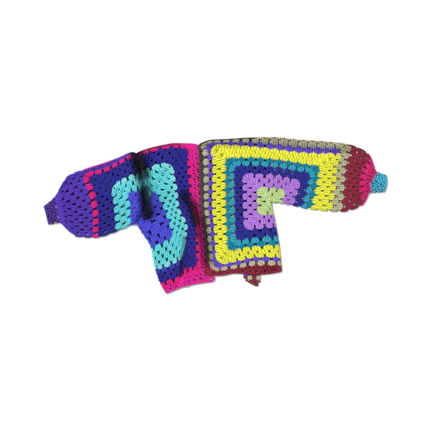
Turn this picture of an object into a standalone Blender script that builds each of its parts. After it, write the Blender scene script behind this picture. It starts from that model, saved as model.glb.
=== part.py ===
"""A crochet cardigan laid flat on its back, as its cut and sewn pieces.

Each half is one six-cornered granny motif. Its centre is the underarm, each of its six
sectors covers a right angle, and it is folded once, so that three sectors make the front
layer and three the back layer of half a body with its sleeve. Bands, a hem border, extra
sleeve rows and a cuff are worked on to it, and the top edges are sewn.

A place on the cloth is (a, b), in rows of stitches from the underarm: a grows towards the
cuff and b towards the shoulder. A table for each half says where such places lie.
"""

import bpy
import bmesh
import numpy as np

MM = 0.001

# Thicknesses and clearances, in metres
WALL = 4.0 * MM  # double crochet in aran yarn
LAYER_GAP = 2.0 * MM  # air between the front and the back cloth
SLEEVE_GAP = 1.8 * MM  # what the sleeves' rounder shape adds to that
EDGE_HEIGHT = 9.0 * MM  # top of the cloth where it folds over to the back
FOLD_ROUND = 3.5 * MM  # how far a fold's round edge reaches past its flat faces
FOLD_WALL = 5.0 * MM  # from a fold's edge to the air between the layers
LAP_LIFT = 5.0 * MM  # the right front edge lies over the left one
CENTRE_GAP = 0.5 * MM  # between the two halves' back layers
SEAM = 0.02  # half a seam's clearance, in rows of about 14.5 mm
EDGE_SEAM = 0.045  # the same at the top of the motifs, where the rows are foreshortened

# Rows of stitches from the underarm
MOTIF = 15  # rounds of a motif
HEM = 17  # outer edge of the hem borders
BAND_FOOT = 12  # the hem border's colour turns up the right centre edge to here
NECK = -5  # the sewn edge ends here and the neck begins

# Where the cloth lies, in millimetres from the middle of the garment. A table has a column for
# each line of constant a, and a row for each line of constant b, from the top edge to the hem.
# Rows below the underarm stop at the side of the body, a = 0.
RIGHT_COLUMNS = (-16, -13, -10, -5, 0, 5, 10, 16, 20, 22, 26)
RIGHT_TOP = 16.5
RIGHT_LAID = {
    RIGHT_TOP: ((-56, 233), (-10, 248), (38, 250), (117, 255), (196, 256), (275, 248),
                (353, 243), (442, 232), (506, 202), (532, 144), (563, 132)),
    15: ((-55, 228), (-8, 242), (38, 245), (117, 249), (196, 248), (276, 241),
         (353, 235), (441, 224), (504, 191), (530, 139), (563, 127)),
    13.5: ((-53, 220), (-9, 231), (36, 234), (117, 230), (197, 221), (276, 211),
           (355, 207), (438, 201), (500, 179), (526, 133), (563.5, 122)),
    10: ((-50, 171), (-5, 178), (39, 184), (119, 188), (196, 182), (272, 171),
         (341, 160), (427, 159), (480, 149), (517, 121), (564, 113)),
    5: ((-47, 101), (-6, 106), (36, 112), (111, 119), (196, 116), (261, 100),
        (332, 96), (422, 90), (473, 91), (508, 98), (562, 98)),
    0: ((-45, 34), (-7, 36), (37, 41), (110, 47), (186, 43), (242, 36),
        (313, 21), (414, 13), (483, 33), (512, 75), (556, 77)),
    -5: ((-36, -37), (-2, -32), (39, -29), (115, -28), (197, -22)),
    -10: ((-29, -107), (3, -109), (46, -112), (122, -102), (209, -96)),
    -14.5: ((-26, -166), (15, -174), (66, -168), (143, -154), (215, -156)),
    -HEM: ((-24, -195), (20, -197), (64, -190), (140, -194), (218, -183)),
}
LEFT_COLUMNS = (-17, -15, -10, -8, -5, -2, 0, 2.5, 7, 10, 15, 19, 22, 26)
LEFT_TOP = 17
LEFT_LAID = {
    LEFT_TOP: ((-59, 233), (-81, 235), (-135, 236), (-167, 231), (-220, 219), (-248, 210),
               (-260, 204), (-272, 208), (-320, 189), (-358, 175), (-432, 151), (-487, 127),
               (-526, 62), (-564, 29)),
    14.5: ((-55, 214), (-82, 216), (-127, 225), (-162, 222), (-215, 209), (-245, 197),
           (-252, 191), (-266, 193), (-317, 169), (-355, 150), (-428, 126), (-480, 110),
           (-524, 53), (-561, 22)),
    10: ((-46, 172), (-79, 172), (-143, 164), (-178, 166), (-224, 150), (-237, 139),
         (-241, 131), (-249, 134), (-300, 118), (-337, 91), (-408, 63), (-470, 40),
         (-520, 27), (-557, 10)),
    5: ((-40, 98), (-74, 97), (-128, 93), (-150, 90), (-197, 75), (-216, 52),
        (-225, 34), (-237, 40), (-277, 39), (-328, 17), (-397, -9), (-461, -17),
        (-515, 2), (-553, -8)),
    0: ((-35, 29), (-70, 28), (-120, 25), (-139, 19), (-165, 11), (-220, -10),
        (-257, -23), (-264, -27), (-276, -31), (-322, -51), (-399, -73), (-457, -69),
        (-512, -25), (-548, -30)),
    -5: ((-31, -34), (-57, -35), (-93, -39), (-113, -50), (-142, -69), (-178, -91), (-214, -103)),
    -10: ((-24, -107), (-52, -107), (-101, -107), (-109, -136), (-134, -155), (-174, -172),
          (-198, -176)),
    -14: ((-18, -164), (-52, -164), (-99, -174), (-111, -186), (-118, -199), (-158, -214),
          (-181, -225)),
    -HEM: ((-1, -216), (-35, -220), (-91, -230), (-108, -234), (-115, -237), (-142, -248),
           (-163, -256)),
}

# Ridges of folded cloth on the front layer. Each runs from (a0, b0) to (a1, b1) in rows, and
# stands up by its height over its half width. The cloth that a fold hides fills it.
FOLD_COLUMNS = ("a0", "b0", "a1", "b1", "half_width", "height")
LEFT_FOLDS = (
    (4.6, 2.0, 4.6, 14.5, 3.6, 13 * MM),  # sleeve side of the deep crease
    (-3.6, 3.0, -3.4, 14.5, 3.0, 13 * MM),  # body side of the deep crease
    (-9.8, -7.0, -9.4, -HEM, 2.0, 5 * MM),  # the tuck above the hem
    (20.0, 4.0, 20.0, 12.0, 4.0, 6 * MM),  # gathers over the cuff
)
RIGHT_FOLDS = (
    (20.0, 4.0, 20.0, 12.0, 3.4, 6 * MM),  # gathers over the cuff
    (-9.0, 11.0, 6.0, 12.5, 3.5, 2 * MM),  # slack across the shoulder
)


def monotone(knots, values, at):
    """A cubic curve through values at knots that never overshoots them.

    Each knot's slope is the harmonic mean of the two spans' slopes, or 0 where they differ in
    sign. values has one row for each knot, and at gives one place for each of its columns.
    """
    knots = np.asarray(knots, float)
    values = np.asarray(values, float)
    wide = np.diff(knots)
    rise = np.diff(values, axis=0) / wide.reshape(-1, *([1] * (values.ndim - 1)))
    before, after = rise[:-1], rise[1:]
    same = before * after > 0
    both = np.where(same, before + after, 1.0)
    slope = np.concatenate([rise[:1], np.where(same, 2 * before * after / both, 0.0), rise[-1:]])
    k = np.clip(np.searchsorted(knots, at, side="right") - 1, 0, len(wide) - 1)
    column = np.arange(values.shape[1])
    span = wide[k]
    t = (at - knots[k]) / span
    if values.ndim == 3:
        span, t = span[:, None], t[:, None]
    start, end = values[k, column], values[k + 1, column]
    out, back = slope[k, column] * span, slope[k + 1, column] * span
    return (
        start * (2 * t**3 - 3 * t**2 + 1)
        + end * (3 * t**2 - 2 * t**3)
        + out * (t**3 - 2 * t**2 + t)
        + back * (t**3 - t**2)
    )


def table(columns, laid):
    """The table's rows from the hem up, as metres, with the missing places mirrored through b = 0."""
    lines = sorted(laid)
    middle = np.array(laid[0], float)
    grid = []
    for b in lines:
        row = np.array(laid[b], float)
        if len(row) < len(columns):
            across = np.array(monotone(
                [line for line in lines if line >= 0],
                np.stack([np.array(laid[line], float) for line in lines if line >= 0]),
                np.full(len(columns), min(-b, max(lines))),
            ))
            row = np.concatenate([row, (2 * middle - across)[len(row):]])
        grid.append(row * MM)
    return np.array(columns, float), np.array(lines, float), np.stack(grid)


HALVES = {
    "right": {"laid": table(RIGHT_COLUMNS, RIGHT_LAID), "folds": RIGHT_FOLDS, "lap": LAP_LIFT},
    "left": {"laid": table(LEFT_COLUMNS, LEFT_LAID), "folds": LEFT_FOLDS, "lap": 0.0},
}

# Lines of the mesh, in rows. Neighbouring pieces share them, so that their facets match.
A_LINES = {
    "right": (-16, -15, -12.5, -10, -7.5, NECK, -2.5, 0, 2.5, 5, 7.5, 10, 12, 14, 16, 17, 18, 19, 20,
              20.7, 21.4, 22, 23, 24.5, 26),
    "left": (-17, -15, -12.5, -10, -9, -8, -6.5, NECK, -3.5, -2, -1, 0, 1.2, 2.5, 4, 5.5, 7, 8.5, 10,
             12.5, 15, 16, 17, 18, 19, 20, 21, 22, 23, 24.5, 26),
}
SLEEVE_LINES = (0, 2.5, 4, 6, 8, 10, 12, 13.5)
B_LINES = (-17, -15, -13.5, -12, -10, -8.5, -7, -5, -2.5, *SLEEVE_LINES, 15)


def place(half, a, b):
    """Where places (a, b) of a half lie, seen from above, in metres."""
    columns, lines, grid = HALVES[half]["laid"]
    shape = np.shape(a)
    a, b = np.ravel(a).astype(float), np.ravel(b).astype(float)
    rows = np.stack([
        monotone(columns, np.repeat(row[:, None, :], len(a), axis=1), a) for row in grid
    ])
    return monotone(lines, rows, b).reshape(*shape, 2)


def smooth(t):
    """0 up to t = 0, 1 from t = 1, and an even rise between."""
    t = np.clip(t, 0, 1)
    return t * t * (3 - 2 * t)


def under_front(half, a, b):
    """Height of the front layer's underside: flat, a little higher in the sleeves and at the lap."""
    across = np.sin(np.pi * np.clip(b / MOTIF, 0, 1))
    sleeve = smooth((a - 9) / 8) * across
    lap = HALVES[half]["lap"] * smooth((-a - 12.5) / 2.2)
    return WALL + LAYER_GAP + SLEEVE_GAP * sleeve + lap


def over_front(half, a, b):
    """Height of the front layer's upper face: its wall and the folds that stand on it."""
    height = under_front(half, a, b) + WALL
    for row in HALVES[half]["folds"]:
        fold = dict(zip(FOLD_COLUMNS, row))
        along = np.array([fold["a1"] - fold["a0"], fold["b1"] - fold["b0"]])
        length = np.hypot(*along)
        along /= length
        t = (a - fold["a0"]) * along[0] + (b - fold["b0"]) * along[1]
        past = t - np.clip(t, 0, length)
        off = np.hypot((a - fold["a0"]) * along[1] - (b - fold["b0"]) * along[0], past)
        height = height + fold["height"] * smooth(1 - off / fold["half_width"])
    return height


def lines(full, low, high, at_low=SEAM, at_high=SEAM):
    """The mesh's lines from low to high, drawn in at each end by the clearance there."""
    inner = [line for line in full if low < line < high]
    return np.array([low + at_low, *inner, high - at_high], float)


def rows_per_metre(half, a, b, turn):
    """How many rows a metre holds at each node, along the a and b steps that turn gives."""
    here = place(half, a, b)
    found = np.zeros_like(turn)
    for axis in (0, 1):
        step = 0.5 * turn[:, axis]
        there = place(half, a + (step if axis == 0 else 0), b + (step if axis == 1 else 0))
        far = np.hypot(*(there - here).T)
        found[:, axis] = np.where(far > 0, 0.5 / np.maximum(far, 1e-6), 0.0)
    return found


def crochet(name, half, a_lines, b_lines, covers, folded, faces="TUVB"):
    """One piece of cloth as a closed body.

    covers(a, b) says which cells of the grid belong to it, and folded(a, b) on which of its
    edges the front layer turns over into the back layer. faces names the faces that it has:
    T and U are the front layer's top and underside, V and B the back layer's. A fold has a
    round edge, M, and every other edge is plain.
    """
    layers = [faces[k:k + 2] for k in range(0, len(faces), 2)]
    cells = [
        (i, j)
        for i in range(len(a_lines) - 1)
        for j in range(len(b_lines) - 1)
        if covers((a_lines[i] + a_lines[i + 1]) / 2, (b_lines[j] + b_lines[j + 1]) / 2)
    ]
    corners = {(i, j): ((i, j), (i + 1, j), (i + 1, j + 1), (i, j + 1)) for i, j in cells}
    uses = {}
    for ring in corners.values():
        for k in range(4):
            edge = (ring[k], ring[(k + 1) % 4])
            uses[frozenset(edge)] = None if frozenset(edge) in uses else edge
    rim = [edge for edge in uses.values() if edge]
    turned = [
        ((i, j), (m, n)) for (i, j), (m, n) in rim
        if folded((a_lines[i] + a_lines[m]) / 2, (b_lines[j] + b_lines[n]) / 2)
    ]
    plain = [edge for edge in rim if edge not in turned]

    inward = {}  # at each node of a fold, the step in a and in b that leads into the cloth
    for edge in turned:
        (i, j), (m, n) = edge
        upright = i == m
        step = (-1 if upright else 0, 0 if upright else (-1 if b_lines[j] > MOTIF / 2 else 1))
        for node in edge:
            before = inward.get(node, (0, 0))
            inward[node] = (before[0] or step[0], before[1] or step[1])

    nodes = sorted({node for ring in corners.values() for node in ring})
    a = np.array([a_lines[i] for i, j in nodes], float)
    b = np.array([b_lines[j] for i, j in nodes], float)
    turn = np.array([inward.get(node, (0, 0)) for node in nodes], float)
    at_fold = np.any(turn != 0, axis=1)
    scale = turn * rows_per_metre(half, a, b, turn)

    def face(letter, drawn_in, height):
        at = place(half, a + scale[:, 0] * drawn_in, b + scale[:, 1] * drawn_in)
        if half == "left" and letter in "VB":
            limit = centre_line(at[:, 1]) - CENTRE_GAP
            at[:, 0] = np.where(a < -MOTIF + 1, np.minimum(at[:, 0], limit), at[:, 0])
        return np.column_stack([at, np.broadcast_to(height, a.shape)])

    top, low = over_front(half, a, b), under_front(half, a, b)
    points = {
        "T": face("T", FOLD_ROUND, np.where(at_fold, EDGE_HEIGHT, top)),
        "U": face("U", FOLD_WALL, np.where(at_fold, WALL + LAYER_GAP, low)),
        "V": face("V", FOLD_WALL, WALL),
        "B": face("B", FOLD_ROUND, 0.0),
        "M": face("M", 0.0, EDGE_HEIGHT / 2),
    }

    mesh = bmesh.new()
    made = {
        (letter, node): mesh.verts.new(points[letter][k])
        for letter in faces + "M"
        for k, node in enumerate(nodes)
        if letter != "M" or node in inward
    }

    def add(*keys):
        mesh.faces.new([made[key] for key in keys])

    for ring in corners.values():
        for letter in faces:
            add(*((letter, node) for node in ring))
    for p, q in plain:
        for high, low in layers:
            add((high, p), (high, q), (low, q), (low, p))
    for p, q in turned:
        add(("T", p), ("T", q), ("M", q), ("M", p))
        add(("M", p), ("M", q), ("B", q), ("B", p))
        if "U" in faces:
            add(("U", p), ("U", q), ("V", q), ("V", p))
    for node in {node for edge in plain for node in edge} & set(inward):
        add(*((letter, node) for letter in faces + "M"))
    bmesh.ops.recalc_face_normals(mesh, faces=mesh.faces)
    return finished(name, mesh)


def finished(name, mesh):
    """The object of a piece, with its own material."""
    data = bpy.data.meshes.new(name)
    mesh.to_mesh(data)
    mesh.free()
    data.shade_smooth()
    thing = bpy.data.objects.new(name, data)
    bpy.context.scene.collection.objects.link(thing)
    data.materials.append(yarn(name, *YARNS[name]))
    return thing


def yarn(name, red, green, blue):
    """Acrylic yarn of one colour, given as sRGB from 0 to 255."""
    material = bpy.data.materials.new(name)
    material.use_nodes = True
    shader = material.node_tree.nodes["Principled BSDF"]
    linear = [((c / 255 + 0.055) / 1.055) ** 2.4 for c in (red, green, blue)]
    shader.inputs["Base Color"].default_value = (*linear, 1)
    shader.inputs["Roughness"].default_value = 0.9
    shader.inputs["Metallic"].default_value = 0.0
    return material


# Main colour of each piece
YARNS = {
    "right_motif": (238, 238, 60),
    "right_sleeve_rows": (110, 20, 45),
    "right_sleeve_gather": (240, 25, 110),
    "right_cuff": (60, 165, 195),
    "right_front_band": (55, 52, 55),
    "right_back_band": (55, 52, 55),
    "right_hem_border": (125, 25, 50),
    "right_shoulder_seam": (115, 20, 45),
    "right_back_hem_corner": (125, 25, 50),
    "left_motif": (45, 40, 150),
    "left_sleeve_rows": (85, 50, 170),
    "left_cuff": (70, 40, 130),
    "left_front_band": (235, 20, 140),
    "left_back_band": (235, 20, 140),
    "left_hem_border": (240, 20, 145),
    "left_shoulder_seam": (190, 20, 110),
}


def side_or_underarm(a, b):
    """On the fold down the side of the body, or on the one along the sleeve's underside."""
    return (abs(a) < 0.1 and b < 0) or (abs(b) < 0.1 and a > 0)


def nowhere(a, b):
    """A piece with no fold."""
    return False


def everywhere(a, b):
    """A piece that fills its whole grid."""
    return True


def centre_line(y):
    """x of the right half's centre edge at each y, in metres."""
    b = np.linspace(-HEM, RIGHT_TOP, 60)
    line = place("right", np.full(b.shape, RIGHT_COLUMNS[0]), b)
    return np.interp(y, line[:, 1], line[:, 0])


def motif(half, end):
    """The folded motif: half the body and half the sleeve, front and back."""
    return crochet(
        half + "_motif", half, lines(A_LINES[half], -MOTIF, end),
        lines(B_LINES, -MOTIF, MOTIF, SEAM, EDGE_SEAM), lambda a, b: a < 0 or b > 0,
        side_or_underarm,
    )


def shoulder_seam(half, end, top):
    """The sewn edge along the shoulder and the top of the sleeve, a roll of close stitches."""
    return crochet(
        half + "_shoulder_seam", half, lines(A_LINES[half], NECK, end),
        np.array([MOTIF + EDGE_SEAM, top]), everywhere, lambda a, b: abs(b - top) < 0.1, "TB",
    )


def band(name, half, foot, top, faces):
    """The edging up one centre edge and along the neck, on the front or the back layer."""
    outer = A_LINES[half][0]
    a_lines = lines(A_LINES[half], outer, NECK, 0)
    a_lines[a_lines == -MOTIF] -= SEAM
    b_lines = np.append(lines(B_LINES, -foot, MOTIF, SEAM, -EDGE_SEAM), top)
    return crochet(name, half, a_lines, b_lines, lambda a, b: a < -MOTIF or b > MOTIF, nowhere, faces)


def hem_border(half, foot):
    """The border along the hem, round the side of the body, and up the centre edge to the foot."""
    a_lines = lines(A_LINES[half], A_LINES[half][0], 0, 0, 0)
    a_lines[a_lines == -MOTIF] -= SEAM
    b_lines = lines(B_LINES, -HEM, -foot, 0)
    b_lines[b_lines == -MOTIF] -= SEAM
    return crochet(
        half + "_hem_border", half, a_lines, b_lines,
        lambda a, b: b < -MOTIF or a < -MOTIF, side_or_underarm,
    )


def sleeve(name, half, start, end, top, last=False, crown=()):
    """Rows worked round the sleeve, as a flattened tube folded at its underside and its top.

    crown holds lines wanted near the top besides the shared ones.
    """
    a_lines = lines(A_LINES[half], start, end, SEAM, 0 if last else SEAM)
    b_lines = np.array([*SLEEVE_LINES, *crown, top], float)
    return crochet(
        name, half, a_lines, b_lines, everywhere,
        lambda a, b: abs(b) < 0.1 or abs(b - top) < 0.1,
    )


def back_hem_corner():
    """The corner of the right back hem that shows below the front, one flat layer."""
    hem_a = np.linspace(-MOTIF, 0, 60)
    hem = place("right", hem_a, np.full(hem_a.shape, -HEM))
    mesh = bmesh.new()
    rows = []
    for x, foot in BACK_CORNER:
        head = np.interp(x * MM, hem[:, 0], hem[:, 1]) - 0.7 * MM
        rows.append([
            mesh.verts.new((x * MM, y, z)) for y, z in
            ((head, WALL), (foot * MM, WALL), (foot * MM, 0), (head, 0))
        ])
    for row, after in zip(rows[:-1], rows[1:]):
        for k in range(4):
            mesh.faces.new((row[k], row[(k + 1) % 4], after[(k + 1) % 4], after[k]))
    mesh.faces.new(rows[0])
    mesh.faces.new(rows[-1])
    bmesh.ops.recalc_face_normals(mesh, faces=mesh.faces)
    return finished("right_back_hem_corner", mesh)


# The lower edge of that corner: x, and how far down it reaches, in millimetres
BACK_CORNER = ((92, -204), (104, -219), (120, -228), (137, -237), (145, -229), (150, -206))


def main():
    """Every piece of the cardigan, in place."""
    for thing in list(bpy.data.objects):
        bpy.data.objects.remove(thing, do_unlink=True)
    motif("right", 16)
    sleeve("right_sleeve_rows", "right", 16, 20, RIGHT_TOP)
    sleeve("right_sleeve_gather", "right", 20, 22, RIGHT_TOP)
    sleeve("right_cuff", "right", 22, 26, RIGHT_TOP, last=True)
    shoulder_seam("right", 16, RIGHT_TOP)
    hem_border("right", BAND_FOOT)
    band("right_front_band", "right", BAND_FOOT, RIGHT_TOP, "TU")
    band("right_back_band", "right", BAND_FOOT, RIGHT_TOP, "VB")
    back_hem_corner()
    motif("left", 15)
    sleeve("left_sleeve_rows", "left", 15, 22, LEFT_TOP, crown=(MOTIF,))
    sleeve("left_cuff", "left", 22, 26, LEFT_TOP, last=True)
    shoulder_seam("left", 15, LEFT_TOP)
    hem_border("left", MOTIF)
    band("left_front_band", "left", MOTIF, LEFT_TOP, "TU")
    band("left_back_band", "left", MOTIF, LEFT_TOP, "VB")


if __name__ == "__main__":
    main()
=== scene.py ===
"""A granny-crochet cardigan laid flat on its back: its stitches, yarns, floor, light and camera.

Each half is one six-cornered motif whose centre is the underarm. Places on the cloth are
(a, b), in rows of stitches from there: a grows towards the cuff, b towards the shoulder.
"""

import bpy
import numpy as np
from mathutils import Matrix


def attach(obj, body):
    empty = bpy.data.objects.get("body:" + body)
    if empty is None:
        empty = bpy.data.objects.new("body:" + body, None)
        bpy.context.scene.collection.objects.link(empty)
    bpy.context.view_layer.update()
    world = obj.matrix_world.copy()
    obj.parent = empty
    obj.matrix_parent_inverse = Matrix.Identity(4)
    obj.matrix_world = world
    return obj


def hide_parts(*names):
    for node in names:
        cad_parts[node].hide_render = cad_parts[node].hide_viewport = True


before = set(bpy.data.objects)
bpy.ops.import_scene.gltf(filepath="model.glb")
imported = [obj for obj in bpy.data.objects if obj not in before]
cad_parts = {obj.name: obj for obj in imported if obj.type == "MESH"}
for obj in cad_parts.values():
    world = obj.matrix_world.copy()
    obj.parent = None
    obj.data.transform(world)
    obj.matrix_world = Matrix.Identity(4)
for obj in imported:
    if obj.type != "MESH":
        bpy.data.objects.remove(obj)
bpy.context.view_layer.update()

MM = 0.001
ROW = 14.5 * MM  # one row of double crochet
WALL = 4 * MM  # thickness of the cloth
UNDER_FRONT = 6 * MM  # underside of the front layer
SLEEVE_GAP = 1.8 * MM  # what the sleeves' rounder shape adds to that
BACK_MIDDLE = 2.5 * MM  # middle of the back layer
EDGE_MIDDLE = 5 * MM  # middle of the cloth where it folds over
TURN = 3 * MM  # how far from its edge a fold has turned flat
CENTRE_GAP = 0.5 * MM  # between the two halves' backs
FLOOR = 0.1 * MM  # the lowest that yarn is pressed flat against what the garment lies on

MOTIF = 15  # rounds of a motif
HEM = 17  # outer edge of the hem borders
BAND_FOOT = 12  # the hem border's colour turns up the right centre edge to here
NECK = -5  # the sewn edge ends here and the neck begins
CENTRE_EDGE = 16  # about where the bands' outer edges are
FAR = 99.0  # further than any edge, in rows

SLEEVE_FROM, SLEEVE_RUN = 9, 8  # where the sleeves' rounder shape starts, and the rows it grows over
LAP_FROM, LAP_RUN = 12.5, 2.2  # the same for the rise of the right half's lap, towards the centre
SLIP_RUN = 8  # rows over which the back layer's slip grows, and the rows over which it ends again

# Where the cloth lies, in millimetres from the middle of the garment: a column for each line of
# constant a, and a row for each line of constant b from the top edge to the hem.
RIGHT_COLUMNS = (-16, -13, -10, -5, 0, 5, 10, 16, 20, 22, 26)
RIGHT_TOP = 16.5
RIGHT_LAID = {
    RIGHT_TOP: ((-56, 233), (-10, 248), (38, 250), (117, 255), (196, 256), (275, 248),
                (353, 243), (442, 232), (506, 202), (532, 144), (563, 132)),
    15: ((-55, 228), (-8, 242), (38, 245), (117, 249), (196, 248), (276, 241),
         (353, 235), (441, 224), (504, 191), (530, 139), (563, 127)),
    13.5: ((-53, 220), (-9, 231), (36, 234), (117, 230), (197, 221), (276, 211),
           (355, 207), (438, 201), (500, 179), (526, 133), (563.5, 122)),
    10: ((-50, 171), (-5, 178), (39, 184), (119, 188), (196, 182), (272, 171),
         (341, 160), (427, 159), (480, 149), (517, 121), (564, 113)),
    5: ((-47, 101), (-6, 106), (36, 112), (111, 119), (196, 116), (261, 100),
        (332, 96), (422, 90), (473, 91), (508, 98), (562, 98)),
    0: ((-45, 34), (-7, 36), (37, 41), (110, 47), (186, 43), (242, 36),
        (313, 21), (414, 13), (483, 33), (512, 75), (556, 77)),
    -5: ((-36, -37), (-2, -32), (39, -29), (115, -28), (197, -22)),
    -10: ((-29, -107), (3, -109), (46, -112), (122, -102), (209, -96)),
    -14.5: ((-26, -166), (15, -174), (66, -168), (143, -154), (215, -156)),
    -HEM: ((-24, -195), (20, -197), (64, -190), (140, -194), (218, -183)),
}
LEFT_COLUMNS = (-17, -15, -10, -8, -5, -2, 0, 2.5, 7, 10, 15, 19, 22, 26)
LEFT_TOP = 17
LEFT_LAID = {
    LEFT_TOP: ((-59, 233), (-81, 235), (-135, 236), (-167, 231), (-220, 219), (-248, 210),
               (-260, 204), (-272, 208), (-320, 189), (-358, 175), (-432, 151), (-487, 127),
               (-526, 62), (-564, 29)),
    14.5: ((-55, 214), (-82, 216), (-127, 225), (-162, 222), (-215, 209), (-245, 197),
           (-252, 191), (-266, 193), (-317, 169), (-355, 150), (-428, 126), (-480, 110),
           (-524, 53), (-561, 22)),
    10: ((-46, 172), (-79, 172), (-143, 164), (-178, 166), (-224, 150), (-237, 139),
         (-241, 131), (-249, 134), (-300, 118), (-337, 91), (-408, 63), (-470, 40),
         (-520, 27), (-557, 10)),
    5: ((-40, 98), (-74, 97), (-128, 93), (-150, 90), (-197, 75), (-216, 52),
        (-225, 34), (-237, 40), (-277, 39), (-328, 17), (-397, -9), (-461, -17),
        (-515, 2), (-553, -8)),
    0: ((-35, 29), (-70, 28), (-120, 25), (-139, 19), (-165, 11), (-220, -10),
        (-257, -23), (-264, -27), (-276, -31), (-322, -51), (-399, -73), (-457, -69),
        (-512, -25), (-548, -30)),
    -5: ((-31, -34), (-57, -35), (-93, -39), (-113, -50), (-142, -69), (-178, -91), (-214, -103)),
    -10: ((-24, -107), (-52, -107), (-101, -107), (-109, -136), (-134, -155), (-174, -172),
          (-198, -176)),
    -14: ((-18, -164), (-52, -164), (-99, -174), (-111, -186), (-118, -199), (-158, -214),
          (-181, -225)),
    -HEM: ((-1, -216), (-35, -220), (-91, -230), (-108, -234), (-115, -237), (-142, -248),
           (-163, -256)),
}

# Ridges of folded cloth: from (a0, b0) to (a1, b1) in rows, half width in rows, height
LEFT_FOLDS = (
    (4.6, 2.0, 4.6, 14.5, 3.6, 19 * MM),  # sleeve side of the deep crease
    (-3.6, 3.0, -3.4, 14.5, 3.0, 19 * MM),  # body side of the deep crease
    (-9.8, -7.0, -9.4, -HEM, 2.0, 5 * MM),  # the tuck above the hem
    (20.0, 4.0, 20.0, 12.0, 4.0, 6 * MM),  # gathers over the cuff
)
RIGHT_FOLDS = (
    (20.0, 4.0, 20.0, 12.0, 3.4, 6 * MM),  # gathers over the cuff
    (-9.0, 11.0, 6.0, 12.5, 3.5, 2 * MM),  # slack across the shoulder
)


# ---------------------------------------------------------------- where the cloth lies

def monotone(knots, values, at):
    """A cubic curve through values at knots that never overshoots them, at the places at.

    Each knot's slope is the harmonic mean of its two spans' slopes, or 0 where they differ in
    sign, and each span is the Hermite cubic of its two ends.
    """
    knots = np.asarray(knots, float)
    values = np.asarray(values, float)
    wide = np.diff(knots)
    rise = np.diff(values, axis=0) / wide.reshape(-1, *([1] * (values.ndim - 1)))
    before, after = rise[:-1], rise[1:]
    same = before * after > 0
    both = np.where(same, before + after, 1.0)
    slope = np.concatenate([rise[:1], np.where(same, 2 * before * after / both, 0.0), rise[-1:]])
    k = np.clip(np.searchsorted(knots, at, side="right") - 1, 0, len(wide) - 1)
    column = np.arange(values.shape[1])
    span = wide[k]
    t = (at - knots[k]) / span
    if values.ndim == 3:
        span, t = span[:, None], t[:, None]
    start, end = values[k, column], values[k + 1, column]
    out, back = slope[k, column] * span, slope[k + 1, column] * span
    return (
        start * (2 * t**3 - 3 * t**2 + 1)
        + end * (3 * t**2 - 2 * t**3)
        + out * (t**3 - 2 * t**2 + t)
        + back * (t**3 - t**2)
    )


def table(columns, laid):
    """The table's rows from the hem up, in metres, with the missing places mirrored through b = 0."""
    lines = sorted(laid)
    middle = np.array(laid[0], float)
    upper = [line for line in lines if line >= 0]
    grid = []
    for b in lines:
        row = np.array(laid[b], float)
        if len(row) < len(columns):
            across = monotone(
                upper,
                np.stack([np.array(laid[line], float) for line in upper]),
                np.full(len(columns), min(-b, max(lines))),
            )
            row = np.concatenate([row, (2 * middle - across)[len(row):]])
        grid.append(row * MM)
    return np.array(columns, float), np.array(lines, float), np.stack(grid)


HALVES = {
    "right": {
        "laid": table(RIGHT_COLUMNS, RIGHT_LAID),
        "folds": RIGHT_FOLDS,
        "lap": 5 * MM,  # its front edge lies over the left one
        "side": 0.7,  # how far the side fold lies from the hem's middle, in rows
        "slip": 3.0,  # how far the back layer lies off the front one, in rows
        "feet": 0.45,  # how wide the groups at the corners start, in rows
        "back": 1.17,  # how wide the back layer's groups spread, next to 1 for a front one
        "top": RIGHT_TOP,
    },
    "left": {
        "laid": table(LEFT_COLUMNS, LEFT_LAID),
        "folds": LEFT_FOLDS,
        "lap": 0.0,
        "side": 0.4,
        "slip": 1.0,
        "feet": 0.25,
        "back": 1.4,
        "top": LEFT_TOP,
    },
}


def place(half, a, b):
    """Where places (a, b) of a half lie, seen from above, in metres."""
    columns, lines, grid = HALVES[half]["laid"]
    shape = np.shape(a)
    a, b = np.ravel(a).astype(float), np.ravel(b).astype(float)
    rows = np.stack([
        monotone(columns, np.repeat(row[:, None, :], len(a), axis=1), a) for row in grid
    ])
    return monotone(lines, rows, b).reshape(*shape, 2)


def smooth(t):
    """0 up to t = 0, 1 from t = 1, and an even rise between."""
    t = np.clip(t, 0, 1)
    return t * t * (3 - 2 * t)


def front_middle(half, a, b):
    """Height of the middle of the front layer: a flat lie, the sleeve's rise, the lap and the ridges.

    Each is its full height times smooth() of a distance, and the sleeve's is also a sine of b. A
    ridge falls off on both sides of its line and round its ends.
    """
    sleeve = smooth((a - SLEEVE_FROM) / SLEEVE_RUN) * np.sin(np.pi * np.clip(b / MOTIF, 0, 1))
    height = UNDER_FRONT + WALL / 2 + SLEEVE_GAP * sleeve
    height = height + HALVES[half]["lap"] * smooth((-a - LAP_FROM) / LAP_RUN)
    for a0, b0, a1, b1, half_width, top in HALVES[half]["folds"]:
        long = np.hypot(a1 - a0, b1 - b0)
        along_a, along_b = (a1 - a0) / long, (b1 - b0) / long
        t = (a - a0) * along_a + (b - b0) * along_b
        past = t - np.clip(t, 0, long)
        off = np.hypot((a - a0) * along_b - (b - b0) * along_a, past)
        height = height + top * smooth(1 - off / half_width)
    return height


def centre_line(y):
    """x of the right half's centre edge at each y, in metres."""
    b = np.linspace(-HEM, RIGHT_TOP, 60)
    line = place("right", np.full(b.shape, float(RIGHT_COLUMNS[0])), b)
    return np.interp(y, line[:, 1], line[:, 0])


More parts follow.
